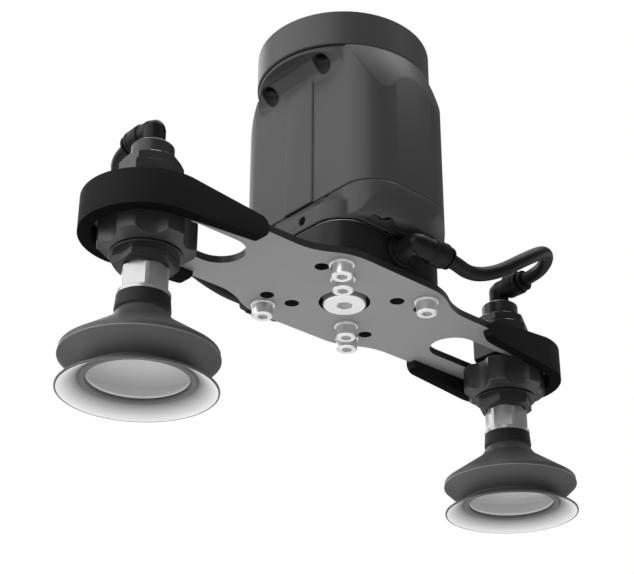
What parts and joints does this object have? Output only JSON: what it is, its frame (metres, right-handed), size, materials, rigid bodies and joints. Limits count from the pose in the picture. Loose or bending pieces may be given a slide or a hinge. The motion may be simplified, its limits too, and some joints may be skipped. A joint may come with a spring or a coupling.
{
  "type": "vacuum gripper",
  "caption": "Electric vacuum gripper with a built-in pump, a round robot coupling, a slotted plate and sliding bellows suction cups joined by air hoses.",
  "frame": {"origin": "centre of the coupling ring's robot-side face", "axes": "+Z leaves the gripper towards the robot; X runs along the slotted plate through both cups"},
  "size_m": [0.252, 0.0936, 0.1855],
  "materials": {
    "dark_anodised": "satin anodised",
    "housing_grey": "fine satin paint",
    "plate_grey": "satin",
    "steel": "zinc plated",
    "nickel": "satin nickel",
    "guard_black": "matte",
    "fitting_black": "matte",
    "hose_black": "smooth satin",
    "cup_grey": "matte silicone",
    "lip_grey": "matte silicone",
    "seal_black": "matte",
    "brass": "machined",
    "board_green": "solder mask",
    "pump_plastic": "moulded",
    "filter_white": "sintered"
  },
  "bodies": {
    "frame": {"coupling_ring": "dark_anodised", "body_housing": "housing_grey", "coupling_screws": "steel", "lower_cap": "housing_grey", "cap_seal": "seal_black", "cap_screws": "steel", "manifold_block": "dark_anodised", "manifold_gasket": "seal_black", "block_screws": "steel", "mounting_plate": "plate_grey", "plate_screws": "steel", "plate_washers": "steel", "port_plug": "steel", "plug_seal": "seal_black", "inlet_filter": "filter_white", "check_valve": "brass", "vent_valve": "pump_plastic", "pump_motor": "nickel", "pump_chassis": "dark_anodised", "pump_cylinder": "pump_plastic", "diaphragm": "seal_black", "pump_head": "pump_plastic", "valve_plate": "pump_plastic", "control_board": "board_green", "signal_socket": "nickel", "port_elbow_right": "fitting_black", "port_elbow_left": "fitting_black", "end_guard_right": "guard_black", "end_guard_left": "guard_black", "hose_right": "hose_black", "hose_left": "hose_black"},
    "right_carriage": {"top_elbow_right": "fitting_black"},
    "right_stack": {"stem_cap_right": "dark_anodised", "lock_nut_right": "dark_anodised", "clamp_body_right": "dark_anodised", "cup_stem_right": "dark_anodised", "thrust_washer_right": "nickel", "cup_fitting_right": "nickel", "bellows_right": "cup_grey", "cup_filter_right": "filter_white"},
    "right_knob": {"clamp_knob_right": "dark_anodised"},
    "right_lip": {"cup_lip_right": "lip_grey"},
    "right_top_collar": {"top_collar_right": "fitting_black"},
    "right_port_collar": {"port_collar_right": "fitting_black"},
    "left_carriage": {"top_elbow_left": "fitting_black"},
    "left_stack": {"stem_cap_left": "dark_anodised", "lock_nut_left": "dark_anodised", "clamp_body_left": "dark_anodised", "cup_stem_left": "dark_anodised", "thrust_washer_left": "nickel", "cup_fitting_left": "nickel", "bellows_left": "cup_grey", "cup_filter_left": "filter_white"},
    "left_knob": {"clamp_knob_left": "dark_anodised"},
    "left_lip": {"cup_lip_left": "lip_grey"},
    "left_top_collar": {"top_collar_left": "fitting_black"},
    "left_port_collar": {"port_collar_left": "fitting_black"},
    "motor_rotor": {"motor_shaft": "steel"},
    "rod": {"connecting_rod": "pump_plastic"}
  },
  "joints": [
    {"name": "right_slot_slide", "type": "slide", "parent": "frame", "child": "right_carriage", "axis": [-1, 0, 0], "range_m": [0, 0.0325], "deforming": ["hose_right"]},
    {"name": "right_swivel", "type": "hinge", "parent": "right_carriage", "child": "right_stack", "pos_m": [0.0976, 0, -0.1179], "axis": [0, 0, 1], "continuous": true},
    {"name": "right_knob_turn", "type": "hinge", "parent": "right_stack", "child": "right_knob", "pos_m": [0.0976, 0, -0.1257], "axis": [0, 0, -1], "range_deg": [0, 120]},
    {"name": "right_lip_press", "type": "slide", "parent": "right_stack", "child": "right_lip", "axis": [0, 0, 1], "range_m": [0, 0.008], "stiffness_N_per_m": 5000, "deforming": ["bellows_right"]},
    {"name": "right_top_release", "type": "slide", "parent": "right_carriage", "child": "right_top_collar", "axis": [0, 1, 0], "range_m": [0, 0.0008], "stiffness_N_per_m": 1000},
    {"name": "right_port_release", "type": "slide", "parent": "frame", "child": "right_port_collar", "axis": [-1, 0, 0], "range_m": [0, 0.0008], "stiffness_N_per_m": 1000},
    {"name": "left_slot_slide", "type": "slide", "parent": "frame", "child": "left_carriage", "axis": [1, 0, 0], "range_m": [0, 0.0325], "deforming": ["hose_left"]},
    {"name": "left_swivel", "type": "hinge", "parent": "left_carriage", "child": "left_stack", "pos_m": [-0.0976, 0, -0.1179], "axis": [0, 0, 1], "continuous": true},
    {"name": "left_knob_turn", "type": "hinge", "parent": "left_stack", "child": "left_knob", "pos_m": [-0.0976, 0, -0.1257], "axis": [0, 0, -1], "range_deg": [0, 120]},
    {"name": "left_lip_press", "type": "slide", "parent": "left_stack", "child": "left_lip", "axis": [0, 0, 1], "range_m": [0, 0.008], "stiffness_N_per_m": 5000, "deforming": ["bellows_left"]},
    {"name": "left_top_release", "type": "slide", "parent": "left_carriage", "child": "left_top_collar", "axis": [0, -1, 0], "range_m": [0, 0.0008], "stiffness_N_per_m": 1000},
    {"name": "left_port_release", "type": "slide", "parent": "frame", "child": "left_port_collar", "axis": [1, 0, 0], "range_m": [0, 0.0008], "stiffness_N_per_m": 1000},
    {"name": "motor_spin", "type": "hinge", "parent": "frame", "child": "motor_rotor", "pos_m": [0, 0.014, -0.075], "axis": [0, 0, 1], "continuous": true, "deforming": ["diaphragm"]},
    {"name": "rod_bearing", "type": "hinge", "parent": "motor_rotor", "child": "rod", "pos_m": [0, 0.0152, -0.075], "axis": [0, 0, 1], "continuous": true}
  ],
  "couplings": [
    {"joint": "rod_bearing", "follows": "motor_spin", "ratio": -1}
  ]
}
